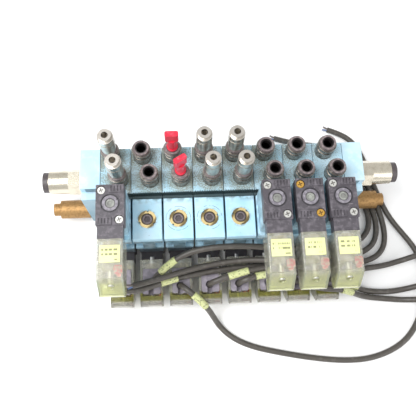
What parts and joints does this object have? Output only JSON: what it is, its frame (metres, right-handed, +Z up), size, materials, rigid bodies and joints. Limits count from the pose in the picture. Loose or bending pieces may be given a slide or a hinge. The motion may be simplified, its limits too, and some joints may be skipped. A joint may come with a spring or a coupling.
{
  "type": "solenoid directional valve bank",
  "caption": "Bank of pilot-operated solenoid directional valves on a stacked base, with push-in tube fittings, reducers, blanking plugs, exhaust silencers and loose leads.",
  "frame": {"origin": "middle of the bank's underside, leads left out", "axes": "+X along the bank towards its right end, +Y to the back, away from the coils, +Z up, out of the tube ports"},
  "size_m": [0.2946, 0.1773, 0.0938],
  "materials": {
    "blue_paint": "satin sky-blue paint on aluminium",
    "operator_grey": "moulded, slightly glossy",
    "clear_cover": "translucent, yellowed",
    "dark_nickel": "dull nickel plate",
    "bright_nickel": "bright nickel plate",
    "collar_grey": "moulded",
    "brass": "turned",
    "bronze": "sintered",
    "steel": "zinc plated",
    "rubber": "matt",
    "winding": "moulded winding",
    "lamp_red": "clear red",
    "red_plastic": "moulded",
    "cable_jacket": "smooth jacket",
    "aluminium": "ground"
  },
  "bodies": {
    "bank": {"station_bases": "blue_paint", "end_plate_left": "blue_paint", "end_plate_right": "blue_paint", "gaskets": "rubber", "tie_rods": "steel", "valve_bodies": "blue_paint", "valve_screws": "steel", "end_caps": "blue_paint", "cap_rings": "brass", "cap_plugs": "steel", "pilot_adaptors": "blue_paint", "operator_blocks": "operator_grey", "operator_screws": "steel", "override_rings": "operator_grey", "solenoid_coils": "winding", "pole_tubes": "steel", "armatures": "steel", "coil_covers": "clear_cover", "cover_screws": "steel", "connector_plugs": "operator_grey", "indicator_lamps": "lamp_red", "port_fittings": "dark_nickel", "port_collars": "collar_grey", "reducers": "bright_nickel", "supply_fittings": "bright_nickel", "silencers": "bronze", "cable_upper_1": "cable_jacket", "cable_lower_2": "cable_jacket", "cable_lower_3": "cable_jacket", "cable_lower_4": "cable_jacket", "cable_lower_5": "cable_jacket", "cable_lower_7": "cable_jacket", "cable_lower_8": "cable_jacket", "cable_upper_8": "cable_jacket", "return_spring_2": "steel", "return_spring_3": "steel", "return_spring_4": "steel", "return_spring_5": "steel"},
    "spool_1": {"spool_1": "aluminium"},
    "spool_2": {"spool_2": "aluminium"},
    "spool_3": {"spool_3": "aluminium"},
    "spool_4": {"spool_4": "aluminium"},
    "spool_5": {"spool_5": "aluminium"},
    "spool_6": {"spool_6": "aluminium"},
    "spool_7": {"spool_7": "aluminium"},
    "spool_8": {"spool_8": "aluminium"},
    "override_lower_1": {"override_lower_1": "operator_grey"},
    "override_lower_2": {"override_lower_2": "operator_grey"},
    "override_lower_3": {"override_lower_3": "operator_grey"},
    "override_lower_4": {"override_lower_4": "operator_grey"},
    "override_lower_5": {"override_lower_5": "operator_grey"},
    "override_lower_6": {"override_lower_6": "operator_grey"},
    "override_lower_7": {"override_lower_7": "operator_grey"},
    "override_lower_8": {"override_lower_8": "operator_grey"},
    "override_upper_1": {"override_upper_1": "operator_grey"},
    "override_upper_6": {"override_upper_6": "operator_grey"},
    "override_upper_7": {"override_upper_7": "operator_grey"},
    "override_upper_8": {"override_upper_8": "operator_grey"},
    "port_plug_front": {"port_plug_front": "red_plastic"},
    "port_plug_back": {"port_plug_back": "red_plastic"}
  },
  "joints": [
    {"name": "spool_1_slide", "type": "slide", "parent": "bank", "child": "spool_1", "axis": [0, 0, 1], "range_m": [0, 0.003]},
    {"name": "spool_2_slide", "type": "slide", "parent": "bank", "child": "spool_2", "axis": [0, 0, 1], "range_m": [0, 0.003], "stiffness_N_per_m": 200, "springref_m": -0.003, "deforming": ["return_spring_2"]},
    {"name": "spool_3_slide", "type": "slide", "parent": "bank", "child": "spool_3", "axis": [0, 0, 1], "range_m": [0, 0.003], "stiffness_N_per_m": 200, "springref_m": -0.003, "deforming": ["return_spring_3"]},
    {"name": "spool_4_slide", "type": "slide", "parent": "bank", "child": "spool_4", "axis": [0, 0, 1], "range_m": [0, 0.003], "stiffness_N_per_m": 200, "springref_m": -0.003, "deforming": ["return_spring_4"]},
    {"name": "spool_5_slide", "type": "slide", "parent": "bank", "child": "spool_5", "axis": [0, 0, 1], "range_m": [0, 0.003], "stiffness_N_per_m": 200, "springref_m": -0.003, "deforming": ["return_spring_5"]},
    {"name": "spool_6_slide", "type": "slide", "parent": "bank", "child": "spool_6", "axis": [0, 0, 1], "range_m": [0, 0.003]},
    {"name": "spool_7_slide", "type": "slide", "parent": "bank", "child": "spool_7", "axis": [0, 0, 1], "range_m": [0, 0.003]},
    {"name": "spool_8_slide", "type": "slide", "parent": "bank", "child": "spool_8", "axis": [0, 0, 1], "range_m": [0, 0.003]},
    {"name": "override_lower_1_press", "type": "slide", "parent": "bank", "child": "override_lower_1", "axis": [0, 0, 1], "range_m": [0, 0.0015], "stiffness_N_per_m": 100, "springref_m": -0.002},
    {"name": "override_lower_2_press", "type": "slide", "parent": "bank", "child": "override_lower_2", "axis": [0, 0, 1], "range_m": [0, 0.0015], "stiffness_N_per_m": 100, "springref_m": -0.002},
    {"name": "override_lower_3_press", "type": "slide", "parent": "bank", "child": "override_lower_3", "axis": [0, 0, 1], "range_m": [0, 0.0015], "stiffness_N_per_m": 100, "springref_m": -0.002},
    {"name": "override_lower_4_press", "type": "slide", "parent": "bank", "child": "override_lower_4", "axis": [0, 0, 1], "range_m": [0, 0.0015], "stiffness_N_per_m": 100, "springref_m": -0.002},
    {"name": "override_lower_5_press", "type": "slide", "parent": "bank", "child": "override_lower_5", "axis": [0, 0, 1], "range_m": [0, 0.0015], "stiffness_N_per_m": 100, "springref_m": -0.002},
    {"name": "override_lower_6_press", "type": "slide", "parent": "bank", "child": "override_lower_6", "axis": [0, 0, 1], "range_m": [0, 0.0015], "stiffness_N_per_m": 100, "springref_m": -0.002},
    {"name": "override_lower_7_press", "type": "slide", "parent": "bank", "child": "override_lower_7", "axis": [0, 0, 1], "range_m": [0, 0.0015], "stiffness_N_per_m": 100, "springref_m": -0.002},
    {"name": "override_lower_8_press", "type": "slide", "parent": "bank", "child": "override_lower_8", "axis": [0, 0, 1], "range_m": [0, 0.0015], "stiffness_N_per_m": 100, "springref_m": -0.002},
    {"name": "override_upper_1_press", "type": "slide", "parent": "bank", "child": "override_upper_1", "axis": [0, 0, -1], "range_m": [0, 0.0015], "stiffness_N_per_m": 100, "springref_m": -0.002},
    {"name": "override_upper_6_press", "type": "slide", "parent": "bank", "child": "override_upper_6", "axis": [0, 0, -1], "range_m": [0, 0.0015], "stiffness_N_per_m": 100, "springref_m": -0.002},
    {"name": "override_upper_7_press", "type": "slide", "parent": "bank", "child": "override_upper_7", "axis": [0, 0, -1], "range_m": [0, 0.0015], "stiffness_N_per_m": 100, "springref_m": -0.002},
    {"name": "override_upper_8_press", "type": "slide", "parent": "bank", "child": "override_upper_8", "axis": [0, 0, -1], "range_m": [0, 0.0015], "stiffness_N_per_m": 100, "springref_m": -0.002},
    {"name": "port_plug_front_pull", "type": "slide", "parent": "bank", "child": "port_plug_front", "axis": [0, 0, 1], "range_m": [0, 0.012]},
    {"name": "port_plug_back_pull", "type": "slide", "parent": "bank", "child": "port_plug_back", "axis": [0, 0, 1], "range_m": [0, 0.012]}
  ]
}
